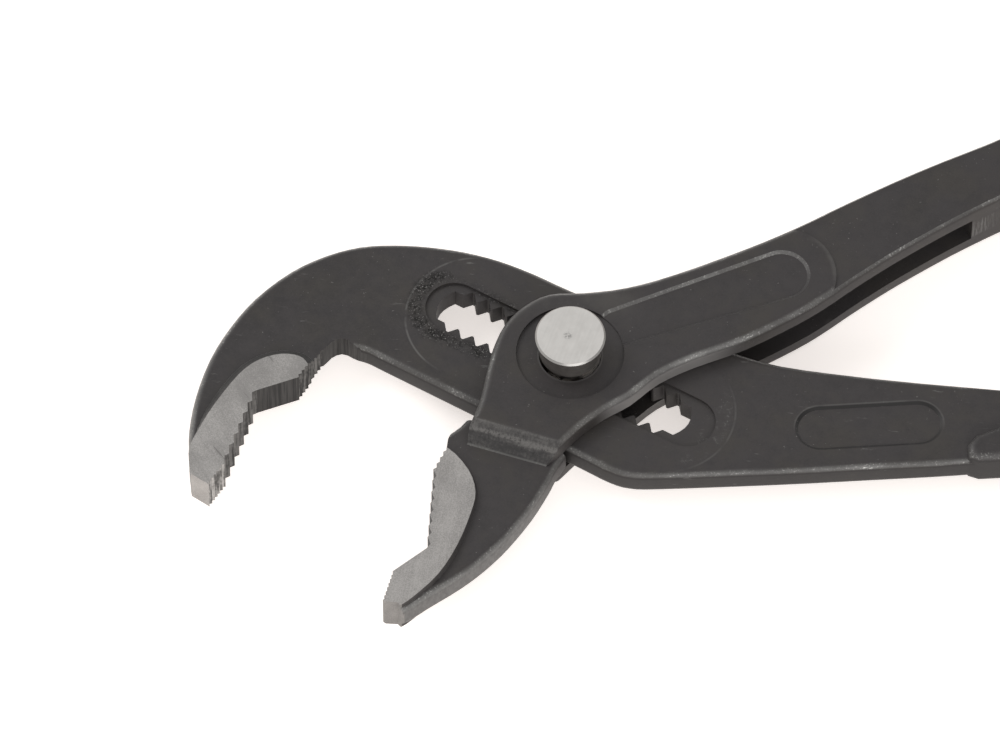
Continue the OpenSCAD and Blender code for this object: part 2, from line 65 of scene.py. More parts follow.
# Gripping edges of the two jaws in millimetres: toothed runs, the fine ones among them, plain
# milled walls and ground tip ends
Jaw = namedtuple("Jaw", "teeth fine wall end")
HOOK = Jaw(teeth=[[(-51.0, -20.4), (-48.8, -17.1), (-44.4, -4.85)], [(-38.5, -2.7), (-35.1, 2.4)]],
           fine=[[(-51.0, -20.4), (-48.8, -17.1)]],
           wall=[[(-44.4, -4.85), (-38.5, -2.7)],
                 [(-35.1, 2.4), (-33.25, 4.15), (-31.7, 4.15), (-29.5, 2.5)]],
           end=[[(-54.6, -17.95), (-51.0, -20.4)]])
FIXED = Jaw(teeth=[[(-17.5, -14.1), (-19.35, -17.9), (-20.25, -30.85)],
                   [(-25.0, -34.6), (-26.35, -39.2)]],
            fine=[[(-25.0, -34.6), (-26.35, -39.2)]],
            wall=[[(-16.9, -11.2), (-17.3, -12.4), (-17.5, -14.1)],
                  [(-20.25, -30.85), (-25.0, -34.6)]],
            end=[[(-26.35, -39.2), (-26.0, -39.5), (-24.3, -39.6), (-22.4, -41.6)]])

# In millimetres, how near a face's middle lies to those edges or to the height of the pads, and how
# much nearer to a wall than to a tooth; then how far a gullet's face turns front for painted shade
TOOTH_NEAR = 0.7
FINE_NEAR = 0.4
WALL_NEAR = 0.12
TIP_NEAR = 0.25
PAD_NEAR = 0.03
WALL_LEAD = 0.3
GULLET_FACING = -0.25

# Toothed slot: slope of its axis, half length of its track, and the zone that the cheeks rub
RACK_SLOPE = math.radians(30)
TRACK_HALF = 19 * MM
RUBBED_HALF = 15.4 * MM
RUBBED_R = 10.1 * MM

# Shelf above the fixed jaw: its slope in degrees; in millimetres, its top's distance from the joint
# axis, its least height over the middle and its left end; and how level its faces lie
SHELF_SLOPE = 18
SHELF_TOP = 14.4
SHELF_LOW = 2.3
SHELF_LEFT = -16
SHELF_TILT = 0.6, 0.97

# Sunk panels of the handles: ends of their middle lines in millimetres, reach of their walls from
# those lines, and how far the rub on their walls that face the front is dimmed as painted shade,
# or raised as painted highlight below zero; then the rim round the upper one's far end
Panel = namedtuple("Panel", "start end reach faint")
UPPER_PANEL = Panel((7.0, 4.4), (30.2, 13.1), 4.6 * MM, -0.45)
LOWER_PANEL = Panel((35.4, -10.6), (49.2, -9.7), 4.1 * MM, 0.8)
PANEL_RIM = 7.8 * MM

# Upper handle: its slope, and the end of the slot between its cheeks
HANDLE_SLOPE = math.radians(26)
SLOT_END = 62.45 * MM

# Colours of the dark coat, the first two from a colder to a warmer tone, of its wear, and of the
# painted light and shade on it
COAT_DARK = (0.0195, 0.0172, 0.0172), (0.0205, 0.018, 0.0162)
COAT_PALE = (0.0345, 0.0305, 0.0305), (0.037, 0.0325, 0.0292)
EDGE_SHEEN_RUBBED = (0.14, 0.136, 0.13)
CHIPPED = (0.38, 0.372, 0.355)
SCUFFED = (0.15, 0.146, 0.14)
HEAD_FLANK_LIGHT = (0.2, 0.19, 0.183)
FIXED_SIDE = (0.185, 0.18, 0.173)
HOOK_SIDE = (0.25, 0.244, 0.234)
PALE_RIM = (0.12, 0.115, 0.11)
BORE_HIGHLIGHT = (0.1, 0.096, 0.092)
PANEL_LIP = (0.13, 0.126, 0.12)
SHADED = (0.009, 0.0081, 0.0079)
SHADED_RAMP = (0.014, 0.0126, 0.0123)
DUG_PIT = (0.006, 0.006, 0.0055)
BARE_GLINT = (0.33, 0.32, 0.305)
SHELF_DARK = (0.02, 0.0182, 0.0178)
SHELF_PALE = (0.105, 0.099, 0.094)
SHELF_STROKE = (0.26, 0.255, 0.24)
SHELF_FOOT = (0.2, 0.195, 0.185)

# Colours of the bare steel and of the grips
PAD_SCRATCH = (0.1, 0.096, 0.091)
BUTTON_DARK = (0.47, 0.455, 0.435)
BUTTON_PALE = (0.54, 0.524, 0.502)
CENTRE_MARK = (0.2, 0.195, 0.187)
OILED_DARK = (0.09, 0.09, 0.088)
OILED_PALE = (0.19, 0.187, 0.18)
GRIP_DARK = (0.025, 0.0232, 0.023)
GRIP_PALE = (0.038, 0.0352, 0.0348)
GRIP_SHADE = (0.012, 0.0112, 0.011)
GRIP_SCUFF = (0.1, 0.096, 0.092)

# Points this near are merged, and faces this near to flat are joined
MERGED = 0.002 * MM
JOINED = math.radians(0.2)

# How much paler the fixed arm's coat is than the blade's, and the turning lines on the button's
# face in radians per metre
FIXED_TONE = 0.11
TURNING = 52000.0


# Materials

class Value:
    """One output socket of a node tree; arithmetic on it adds Math nodes."""

    def __init__(self, nodes, socket):
        self.nodes, self.socket = nodes, socket

    def __add__(self, other):
        return self.nodes.math("ADD", self, other)

    def __sub__(self, other):
        return self.nodes.math("SUBTRACT", self, other)

    def __mul__(self, other):
        return self.nodes.math("MULTIPLY", self, other)

    def __truediv__(self, other):
        return self.nodes.math("DIVIDE", self, other)

    def __pow__(self, other):
        return self.nodes.math("POWER", self, other)

    def __rsub__(self, other):
        return self.nodes.math("SUBTRACT", other, self)

    __radd__ = __add__
    __rmul__ = __mul__

    def size(self):
        return self.nodes.math("ABSOLUTE", self)

    def ramp(self, low, high):
        """0 at low, 1 at high, smooth between."""
        return self.nodes.node("ShaderNodeMapRange", {"interpolation_type": "SMOOTHSTEP"},
                               self, low, high, 0.0, 1.0)

    def fall(self, low, high):
        """1 at low, 0 at high, smooth between."""
        return 1 - self.ramp(low, high)

    def near(self, inner, outer):
        """1 within inner of zero, 0 past outer, smooth between."""
        return self.size().fall(inner, outer)


class Nodes:
    """A node tree whose nodes all come from one method."""

    def __init__(self, tree):
        self.tree = tree
        self.tree.nodes.clear()

    def node(self, kind, settings=None, *values, out=0, named=None):
        """Adds a node: its settings first, then the values or links of its sockets."""
        made = self.tree.nodes.new(kind)
        for key, value in (settings or {}).items():
            setattr(made, key, value)
        for key, value in list(enumerate(values)) + list((named or {}).items()):
            self.feed(made.inputs[key], value)
        return Value(self, made.outputs[out]) if made.outputs else None

    def feed(self, socket, value):
        if isinstance(value, Value):
            self.tree.links.new(value.socket, socket)
        elif isinstance(value, tuple) and len(value) == 3 and socket.type == "RGBA":
            socket.default_value = (*value, 1.0)
        else:
            socket.default_value = value

    def math(self, operation, *values):
        return self.node("ShaderNodeMath", {"operation": operation}, *values)


class Finish(Nodes):
    """A material and its node tree, with one shader at the end."""

    def __init__(self, name):
        self.material = bpy.data.materials.new(name)
        self.material.use_nodes = True
        super().__init__(self.material.node_tree)

    def place(self, scale=(1, 1, 1), turn=(0, 0, 0)):
        """Object coordinates, turned and stretched."""
        here = self.node("ShaderNodeTexCoord", out="Object")
        return self.node("ShaderNodeMapping", None, here, (0, 0, 0), turn, scale)

    def grain(self, turn, stretch):
        """Object coordinates drawn out along a direction, given in degrees."""
        here = self.node("ShaderNodeTexCoord", out="Object")
        return self.node("ShaderNodeMapping", {"vector_type": "TEXTURE"}, here, (0, 0, 0),
                         (0, 0, math.radians(turn)), (stretch, 1, 1))

    def axis(self, place, name):
        return self.node("ShaderNodeSeparateXYZ", None, place, out=name)

    def length(self, x, y):
        return (x * x + y * y) ** 0.5

    def off_point(self, place, point):
        """Distance in plan from a point given in millimetres."""
        x, y = (self.axis(place, name) - v * MM for name, v in zip("XY", point))
        return self.length(x, y)

    def off_line(self, place, start, end):
        """Distance in plan from a straight line between two points given in millimetres."""
        ax, ay, bx, by = (v * MM for v in (*start, *end))
        dx, dy = bx - ax, by - ay
        x, y = self.axis(place, "X") - ax, self.axis(place, "Y") - ay
        share = (x * dx + y * dy) / (dx * dx + dy * dy)
        share = self.math("MINIMUM", self.math("MAXIMUM", share, 0.0), 1.0)
        return self.length(x - share * dx, y - share * dy)

    def noise(self, place, scale, detail=4.0, rough=0.55):
        return self.node("ShaderNodeTexNoise", None, out="Fac",
                         named={"Vector": place, "Scale": scale, "Detail": detail,
                                "Roughness": rough})

    def mix(self, factor, first, second):
        return self.node("ShaderNodeMix", {"data_type": "RGBA"}, out=2,
                         named={0: factor, 6: first, 7: second})

    def facing(self, name="Z"):
        """How far a surface faces along an axis of the object."""
        return self.axis(self.node("ShaderNodeTexCoord", out="Normal"), name)

    def upright(self):
        """1 on sides that stand upright."""
        return self.facing().near(0.2, 0.5)

    def level(self):
        """1 on faces that lie level and face the front."""
        return self.facing().ramp(0.9, 0.98)

    def bump(self, height, strength, distance):
        return self.node("ShaderNodeBump", None,
                         named={"Strength": strength, "Distance": distance, "Height": height})

    def finish(self, **inputs):
        """Ends the tree with a Principled shader."""
        named = {key.replace("_", " "): value for key, value in inputs.items()}
        self.node("ShaderNodeOutputMaterial", None,
                  self.node("ShaderNodeBsdfPrincipled", named=named))
        return self.material


def coat_layers(f, here, panel=None):
    """Tone, rubbed edges with a painted sheen on them, relief and chipped spots of the dark coat,
    as values from 0 to 1.
    """
    cloud = f.noise(here, 60, 3)
    mottle = f.noise(here, 520, 5, 0.62)
    fine = f.noise(here, 3800, 3, 0.6)
    tone = cloud * 0.3 + mottle * 0.4 + fine * 0.3
    flat = f.facing().size()
    patches = f.noise(here, 190, 4, 0.6).ramp(0.4, 0.64)
    # Painted highlight: the rub grows by up to a third on edges that face the back
    light_by_side = 1 + f.facing("Y").ramp(-0.3, 0.35) * 0.35
    if panel:
        sunk = (f.off_line(here, panel.start, panel.end) - panel.reach).fall(0.0, 0.6 * MM)
        # Painted shade dims the rub on the panel's walls; a painted highlight raises it on the
        # upper panel's walls that face the front
        shade_on_walls = panel.faint + f.facing("Y").ramp(-0.85, 0.1) * (0.8 - panel.faint)
        light_by_side = light_by_side * (1 - sunk * shade_on_walls)
    rub_and_sheen = flat.ramp(0.25, 0.55) * flat.fall(0.84, 0.99) * (0.5 + patches * 0.5) * light_by_side
    spots = f.noise(here, 2300, 4, 0.6).ramp(0.67, 0.72)
    flecks = f.noise(here, 3400, 4, 0.65).ramp(0.53, 0.68)
    chips = spots * patches * 0.35 + flecks * rub_and_sheen * (0.35 + patches * 0.5)
    return tone, rub_and_sheen, mottle * 0.55 + fine * 0.45, chips


def coat_colour(f, here, tone, rub_and_sheen, chips):
    """Colour of the coat, with bare steel where it is rubbed and chipped; the rubbed edges are
    partly a painted highlight.
    """
    warm = f.noise(here, 130, 4, 0.6).ramp(0.4, 0.7)
    coat = f.mix(tone.ramp(0.3, 0.7), f.mix(warm, *COAT_DARK), f.mix(warm, *COAT_PALE))
    return f.mix(chips, f.mix(rub_and_sheen * 0.65, coat, EDGE_SHEEN_RUBBED), CHIPPED)


def pale_jaw_sides(f, here, place, colour, pale):
    """Sides of a jaw, paler towards its tip; place runs from 0 to 1 along the jaw."""
    height = f.axis(here, "Z") - MIDDLE
    sides = f.facing().near(0.5, 0.9) * height.near(BLADE_HALF - 0.08 * MM, BLADE_HALF + 0.02 * MM)
    broken = f.noise(f.place((1, 1, 0.5)), 1800, 4, 0.65).ramp(0.15, 0.85)
    return f.mix(sides * place * (0.35 + broken * 0.5), colour, pale)


def coated(f, colour, tone, rub_and_sheen, chips, height, shine=0.0, pits_and_shade=0.0):
    """Shader of the coat: smoother where it is rubbed, more of a metal where it is chipped, pitted
    or given painted shade.
    """
    return f.finish(Base_Color=colour, Metallic=0.2 + chips * 0.6 + pits_and_shade, Specular_IOR_Level=0.42,
                    Roughness=0.58 - tone * 0.1 - rub_and_sheen * 0.1 - chips * 0.12 - shine,
                    Normal=f.bump(height, 0.3, 0.06 * MM))


def phosphate_coat():
    """Dark, matt coat of the fixed arm, rubbed paler along its round edges with a painted sheen,
    and with a painted highlight round the bore.
    """
    f = Finish("phosphate_coat")
    here = f.place()
    tone, rub_and_sheen, relief, chips = coat_layers(f, here, UPPER_PANEL)
    x, y, z = (f.axis(here, name) for name in "XYZ")
    along = f.axis(f.place(turn=(0, 0, -HANDLE_SLOPE)), "X")
    upright, level = f.upright(), f.level()

    # Painted highlight on the head's lower right edge, and painted light on the paler flank under
    # it
    lit_lower_right = x.ramp(3 * MM, 7 * MM) * x.fall(20 * MM, 30 * MM) * y.fall(-1 * MM, 4 * MM)
    rub_and_sheen = rub_and_sheen * (1 + lit_lower_right * 0.7)
    colour = coat_colour(f, here, tone + FIXED_TONE, rub_and_sheen, chips)
    colour = f.mix(upright * lit_lower_right * 0.9, colour, HEAD_FLANK_LIGHT)
    colour = pale_jaw_sides(f, here, y.fall(-26 * MM, -15 * MM), colour, FIXED_SIDE)

    # Painted light on the rim round the panel's far end, over the shade beside its step, and a
    # paler crown of the head
    far = f.off_point(here, UPPER_PANEL.end) - PANEL_RIM
    rim = (far + 0.2 * MM).near(0.1 * MM, 0.6 * MM) * along.ramp(34 * MM, 37 * MM) * level
    round_head = (x * x + y * y).fall(130 * MM * MM, 190 * MM * MM)
    crown = y.ramp(4 * MM, 9 * MM) * round_head * level
    patchy = f.noise(here, 260, 3).ramp(0.4, 0.62)
    colour = f.mix(rim * patchy * 0.26 + crown * (0.08 + patchy * 0.1), colour, PALE_RIM)
    # Painted highlight: a pale ring round the edge of the bore
    bore = (f.length(x, y) - BORE_R).fall(0.1 * MM, 0.3 * MM)
    bore = bore * z.ramp(RING_FLOOR - 0.6 * MM, RING_FLOOR - 0.1 * MM)
    colour = f.mix(bore * 0.5, colour, BORE_HIGHLIGHT)

    # Cutter's marks past the end of the slot, on the side that faces the front
    past = along - SLOT_END
    milled = upright * f.facing("Y").fall(-0.5, -0.2) * (z - MIDDLE).near(1.6 * MM, 2.3 * MM)
    milled = milled * past.ramp(0.0, 0.2 * MM) * past.fall(1.5 * MM, 5 * MM)
    marks = f.noise(f.place((1, 1, 0.12)), 2600, 3, 0.6)
    colour = f.mix(milled * marks.ramp(0.45, 0.65) * 0.6, colour, SCUFFED)
    return coated(f, colour, tone, rub_and_sheen, chips, relief + milled * marks * 2.0)


def rubbed_coat():
    """The same coat on the blade, scored along the zone that the cheeks slide over."""
    f = Finish("rubbed_coat")
    here = f.place()
    tone, rub_and_sheen, relief, chips = coat_layers(f, here, LOWER_PANEL)
    x, y, z = (f.axis(here, name) for name in "XYZ")
    shoulder = x.ramp(55.5 * MM, 57.5 * MM)
    rub_and_sheen, chips = rub_and_sheen * (1 - shoulder * 0.75), chips * (1 - shoulder * 0.5)
    rack = f.place(turn=(0, 0, RACK_SLOPE))
    along, across = f.axis(rack, "X"), f.axis(rack, "Y")

    def reach(half):
        """Distance from the middle line of the slot, cut off at half its length."""
        return f.length(f.math("MAXIMUM", along.size() - half, 0.0), across)

    off_track = reach(TRACK_HALF)

    # Rubbed zone: scored outline, and grazed spots by its end on the handle's side
    rubbed = reach(RUBBED_HALF) - RUBBED_R
    inside = rubbed.fall(-0.4 * MM, 0.0)
    handle_end = along.ramp(20.5 * MM, 24 * MM)
    broken = f.noise(here, 300, 3).ramp(0.3, 0.55)
    ends = handle_end * 0.45 + (along + across * 0.21).fall(-21.5 * MM, -17 * MM)
    line = rubbed.near(0.05 * MM, 0.22 * MM) * broken * ends
    grazed = inside * (rubbed + 2.4 * MM).near(0.9 * MM, 2.4 * MM) * handle_end
    grazed = grazed * f.noise(here, 420, 2).ramp(0.42, 0.6)
    scuffs = f.noise(f.grain(-4, 5), 1500, 4, 0.65).ramp(0.62, 0.72)
    scuffs = scuffs * f.noise(here, 150, 2).ramp(0.44, 0.6)
    scuffs = scuffs + grazed * (0.15 + f.noise(here, 2600, 4, 0.7).ramp(0.53, 0.64) * 1.4)

    # Gouges round the slot's end on the jaw's side, with pits and glints of bare steel
    middle = 4.9 * MM - along.ramp(-24 * MM, -11 * MM) * (1.1 * MM)
    middle = middle + f.noise(here, 380, 3) * (1.4 * MM)
    gouged = (off_track - middle).near(0.3 * MM, 1.8 * MM) * along.fall(-12.5 * MM, -9.5 * MM)
    gouged = gouged * f.noise(here, 330, 3, 0.6).ramp(0.22, 0.55)
    gouged = gouged * across.fall(3 * MM, 5.8 * MM) * f.level()
    dug = gouged * (0.25 + f.noise(here, 1500, 6, 0.78).ramp(0.4, 0.58) * 0.75)
    glint = gouged * f.noise(here, 3600, 4, 0.72).ramp(0.56, 0.68)

    # Painted shade on the sides that face the front and on the walls of the panel
    shaded = f.upright() * f.facing("Y").fall(-0.5, -0.2)
    shaded = shaded * (off_track - 6.5 * MM).ramp(0.0, 0.5 * MM)
    past = f.off_line(here, LOWER_PANEL.start, LOWER_PANEL.end) - LOWER_PANEL.reach
    walls = past.fall(0.0, 0.4 * MM) * f.facing().fall(0.93, 0.995)
    walls = walls * (0.9 - f.facing("Y").ramp(-0.3, 0.1) * 0.4)
    lip = (past + 0.4 * MM).near(0.05 * MM, 0.2 * MM) * y.ramp(-11.5 * MM, -8.5 * MM)

    # Painted shade on the ramp that leads up to the pad
    raised = (z - MIDDLE).size().ramp(BLADE_HALF, BLADE_HALF + 0.07 * MM)
    raised = raised * x.fall(-30 * MM, -20 * MM) * f.facing().ramp(0.4, 0.7)

    paler = inside * 0.06 + x.ramp(-34 * MM, -20 * MM) * 0.07
    colour = coat_colour(f, here, tone + paler, rub_and_sheen, chips)
    colour = f.mix(shaded * 0.6 + walls, colour, SHADED)
    colour = f.mix(raised * 0.75, colour, SHADED_RAMP)
    colour = f.mix(lip * (0.4 + broken * 0.6) * 0.3, colour, PANEL_LIP)
    colour = pale_jaw_sides(f, here, x.fall(-54 * MM, -36 * MM), colour, HOOK_SIDE)
    colour = f.mix(line * 0.45 + scuffs * 0.45, colour, SCUFFED)
    colour = f.mix(dug * 0.8, colour, DUG_PIT)
    colour = f.mix(glint * 0.75, colour, BARE_GLINT)
    # Painted shade on the panel's walls also raises the metal share, to darken them
    return coated(f, colour, tone, rub_and_sheen, chips, relief - dug * 4.0, glint * 0.2,
                  dug * 0.6 - glint * 0.3 + walls * 0.3)


def shelf_coat():
    """Coat of the shelf over the fixed jaw: waves along it, a painted highlight on its bead,
    strokes down its slope.
    """
    f = Finish("shelf_coat")
    here = f.place()
    tone, rub_and_sheen, relief, chips = coat_layers(f, here)
    waves = f.noise(f.grain(-SHELF_SLOPE, 7), 700, 3, 0.6)
    strokes = f.noise(f.grain(90 - SHELF_SLOPE, 4), 2600, 4, 0.7)
    height = f.axis(here, "Z")
    wavy = height + (waves - 0.5) * (0.8 * MM)
    # Painted highlight along the bead at the top of the slope
    bead = wavy.ramp(9 * MM, 9.3 * MM) * wavy.fall(9.4 * MM, 9.8 * MM) * strokes.ramp(0.3, 0.6)
    upper = wavy.ramp(8.7 * MM, 9.2 * MM)
    foot = height.fall(7.6 * MM, 7.8 * MM)
    mixed = waves * 0.4 + strokes * 0.3 + tone * 0.3 + bead * 0.16 + upper * 0.08 - 0.06
    colour = f.mix(mixed.ramp(0.36, 0.64), SHELF_DARK, SHELF_PALE)
    struck = strokes.ramp(0.6, 0.72) * waves.ramp(0.45, 0.6)
    colour = f.mix(struck * 0.45, colour, SHELF_STROKE)
    colour = f.mix(foot * 0.3, colour, SHELF_FOOT)
    coat = coat_colour(f, here, tone + FIXED_TONE, rub_and_sheen, chips)
    colour = f.mix(f.facing().ramp(0.87, 0.965), colour, coat)
    return coated(f, colour, tone, rub_and_sheen * 0.5, chips, relief * 0.4 + waves * 2.2 + strokes * 0.5)


def ground_pad(name, turn, pale, greyer=None):
    """Bare steel of a jaw pad: a fine grey grain, the faint lines of the belt and a few deep ones.

    It turns greyer between two places along Y, where they are given.
    """
    f = Finish(name)
    here = f.place()
    lines = f.noise(f.grain(turn, 22), 4300, 4, 0.6)
    fine = f.noise(here, 6500, 3, 0.65)
    stain = f.noise(here, 210, 2, 0.5)
    bands = f.noise(f.grain(turn, 9), 420, 3, 0.5)
    deep = f.noise(f.grain(turn + 8, 9), 1150, 2).ramp(0.71, 0.76)
    nicks = f.noise(here, 900, 2).ramp(0.745, 0.77)
    tone = lines * 0.12 + fine * 0.48 + stain * 0.22 + bands * 0.18
    if greyer:
        tone = tone - f.axis(here, "Y").ramp(*greyer) * 0.05
    darkest, palest = (tuple(share * c for c in pale) for share in (0.77, 1.25))
    colour = f.mix(tone.ramp(0.38, 0.62), darkest, palest)
    colour = f.mix(deep * 0.5 + nicks * 0.6, colour, PAD_SCRATCH)
    return f.finish(Base_Color=colour, Metallic=0.75, Roughness=0.44 + fine * 0.16,
                    Normal=f.bump(lines * 0.5 + fine * 0.5 - deep, 0.25, 0.04 * MM))


def cut_teeth(name, dark, pale):
    """Milled steel of the teeth, lined from face to face."""
    f = Finish(name)
    cut = f.noise(f.place((1, 1, 0.04)), 2600, 4, 0.7)
    stain = f.noise(f.place(), 900, 4)
    colour = f.mix((cut * 0.75 + stain * 0.25).ramp(0.4, 0.62), dark, pale)
    return f.finish(Base_Color=colour, Metallic=0.6, Roughness=0.42 + cut * 0.14,
                    Normal=f.bump(cut, 0.3, 0.05 * MM))


def milled_wall(name, dark, pale):
    """Dark coated walls between the teeth, still showing the cutter's lines."""
    f = Finish(name)
    cut = f.noise(f.place((1, 1, 0.03)), 2300, 4, 0.7)
    colour = f.mix(cut.ramp(0.35, 0.65), dark, pale)
    return f.finish(Base_Color=colour, Metallic=0.5, Roughness=0.52, Specular_IOR_Level=0.35,
                    Normal=f.bump(cut, 0.35, 0.06 * MM))


def satin_button():
    """Faced end of the button: fine turning lines and a small mark left by the lathe's centre."""
    f = Finish("satin_button")
    here = f.place()
    x, y = f.axis(here, "X"), f.axis(here, "Y")
    rings = f.math("SINE", f.length(x, y) * TURNING)
    drift = f.noise(here, 420, 4, 0.6)
    smear = f.noise(f.grain(70, 14), 3000, 4, 0.6)
    centre = f.length(x + 0.35 * MM, y).fall(0.3 * MM, 0.8 * MM)
    centre = centre * f.noise(here, 4600, 2).ramp(0.42, 0.58)
    colour = f.mix((drift * 0.65 + smear * 0.35).ramp(0.3, 0.7), BUTTON_DARK, BUTTON_PALE)
    colour = f.mix(centre * 0.75, colour, CENTRE_MARK)
    return f.finish(Base_Color=colour, Metallic=0.9, Roughness=0.38 + smear * 0.06,
                    Normal=f.bump(rings * 0.3 + smear * 0.6, 0.06, 0.03 * MM))


def turned_steel(name, dark, pale):
    """Turned sides of the button and the bolt, smoother and with a film of oil."""
    f = Finish(name)
    rings = f.noise(f.place((0.02, 0.02, 1)), 5200, 3, 0.6)
    film = f.noise(f.place(), 380, 4)
    colour = f.mix((rings * 0.6 + film * 0.4).ramp(0.3, 0.7), dark, pale)
    return f.finish(Base_Color=colour, Metallic=0.95, Roughness=0.32 + rings * 0.12,
                    Normal=f.bump(rings, 0.1, 0.03 * MM))


def oiled_steel():
    """Oiled steel of the inner pieces."""
    f = Finish("oiled_steel")
    film = f.noise(f.place(), 800, 4)
    lines = f.noise(f.place((1, 1, 0.1)), 3000, 3)
    colour = f.mix((film * 0.6 + lines * 0.4).ramp(0.3, 0.7), OILED_DARK, OILED_PALE)
    return f.finish(Base_Color=colour, Metallic=0.8, Roughness=0.3 + film * 0.2,
                    Normal=f.bump(lines, 0.15, 0.03 * MM))


def dipped_grip():
    """Soft dipped plastic with a fine orange-peel skin, given painted shade and specks where it
    slopes.
    """
    f = Finish("dipped_grip")
    here = f.place()
    peel = f.noise(here, 1500, 3)
    cloud = f.noise(here, 60, 3)
    scuff = f.noise(f.place((0.2, 1, 1)), 900, 4, 0.65).ramp(0.6, 0.75)
    sloped = f.facing().near(0.85, 0.98)
    specks = f.noise(here, 2600, 4, 0.6).ramp(0.62, 0.7) * sloped
    colour = f.mix(cloud.ramp(0.3, 0.7), GRIP_DARK, GRIP_PALE)
    colour = f.mix(sloped * 0.45, colour, GRIP_SHADE)
    colour = f.mix(scuff * 0.35 + specks * 0.4, colour, GRIP_SCUFF)
    return f.finish(Base_Color=colour, Roughness=0.5 + peel * 0.12 + scuff * 0.1,
                    Specular_IOR_Level=0.36, Normal=f.bump(peel, 0.2, 0.08 * MM))


COAT = phosphate_coat()
BLADE_COAT = rubbed_coat()
SHELF = shelf_coat()
HOOK_PAD = ground_pad("hook_ground_pad", -62, (0.278, 0.267, 0.256), (-12 * MM, -2 * MM))
FIXED_PAD = ground_pad("fixed_ground_pad", 80, (0.284, 0.272, 0.261))
HOOK_TIP = ground_pad("hook_tip_end", 60, (0.32, 0.306, 0.293))
FIXED_TIP = ground_pad("fixed_tip_end", 60, (0.212, 0.204, 0.195))
TEETH = cut_teeth("cut_teeth", (0.012, 0.0115, 0.011), (0.15, 0.145, 0.139))
FINE_TEETH = cut_teeth("fine_cut_teeth", (0.06, 0.058, 0.055), (0.5, 0.484, 0.466))
WALL = milled_wall("milled_wall", (0.01, 0.0095, 0.0092), (0.05, 0.0475, 0.0455))
# Painted shade: the darker finish of gullet faces that turn to the front
GULLET_SHADE = milled_wall("tooth_gullet_shade", (0.003, 0.0029, 0.0028), (0.012, 0.0115, 0.011))
SATIN = satin_button()
STEM = turned_steel("turned_stem", (0.23, 0.214, 0.199), (0.41, 0.385, 0.361))
BUTTON_EDGE = turned_steel("turned_edge", (0.22, 0.212, 0.202), (0.3, 0.29, 0.277))
OILED = oiled_steel()
GRIP = dipped_grip()


# Pieces

def off_run(x, y, run):
    """Distance in millimetres from a point to a broken line."""
    best = math.inf
    for (ax, ay), (bx, by) in zip(run, run[1:]):
        dx, dy = bx - ax, by - ay
        share = max(0.0, min(1.0, ((x - ax) * dx + (y - ay) * dy) / (dx * dx + dy * dy)))
        best = min(best, math.hypot(x - ax - share * dx, y - ay - share * dy))
    return best


def jaw_face(jaw, fixed):
    """Picks the finish of a face of an arm, as a place in its list of finishes.

    Only the fixed arm has the last two: gullet faces that turn to the front, painted darker as
    their shade, and the shelf above its jaw.
    """
    coat, pad, cut, fine_cut, milled, tip, gullet, shelf = range(8)
    slope = math.radians(SHELF_SLOPE)

    def choose(face):
        at = face.calc_center_median() / MM
        height = abs(at.z - MIDDLE / MM)
        level = abs(face.normal.z)
        if level > 0.99 and abs(height - PAD_HALF / MM) < PAD_NEAR:
            return pad
        if level < 0.1:
            teeth, fine, wall, end = (min(off_run(at.x, at.y, run) for run in runs) for runs in jaw)
            if end < TIP_NEAR:
                return tip
            if min(teeth, wall) < TOOTH_NEAR:
                if wall < WALL_NEAR or wall < teeth - WALL_LEAD:
                    return milled
                if fine < FINE_NEAR:
                    return fine_cut
                return gullet if fixed and face.normal.y < GULLET_FACING else cut
        beyond = -(at.x * math.sin(slope) + at.y * math.cos(slope)) - SHELF_TOP
        tilted = SHELF_TILT[0] < level < SHELF_TILT[1]
        if fixed and beyond > -1.0 and tilted and height > SHELF_LOW and at.x > SHELF_LEFT:
            return shelf
        return coat
    return choose


def button_face(face):
    """Picks the faced end of the button, its edge or its side."""
    faced, edge, side = range(3)
    return faced if face.normal.z > 0.95 else edge if face.normal.z > 0.2 else side


def dressed(name, node, body, finishes, choose=None, smooth=32):
    """A copy of a CAD node with a finish chosen for each face, smooth up to an angle in degrees."""
    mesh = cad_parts[node].data.copy()
    mesh.name = name
    mesh.materials.clear()
    for material in finishes:
        mesh.materials.append(material)
    work = bmesh.new()
    work.from_mesh(mesh)
    bmesh.ops.remove_doubles(work, verts=work.verts, dist=MERGED)
    bmesh.ops.dissolve_limit(work, angle_limit=JOINED, verts=work.verts, edges=work.edges)
    for face in work.faces:
        face.smooth = True
        face.material_index = choose(face) if choose else 0
    for edge in work.edges:
        joined = len(edge.link_faces) == 2
        edge.smooth = joined and edge.calc_face_angle(0.0) < math.radians(smooth)
    work.to_mesh(mesh)
    work.free()
    piece = placed(name, mesh, node, body)
    piece.modifiers.new("even_shading", "WEIGHTED_NORMAL").keep_sharp = True


def placed(name, mesh, node, body):
    """Puts a finished mesh in the scene in the place of its CAD node."""
    piece = bpy.data.objects.new(name, mesh)
    bpy.context.scene.collection.objects.link(piece)
    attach(piece, body)
    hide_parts(node)
    return piece


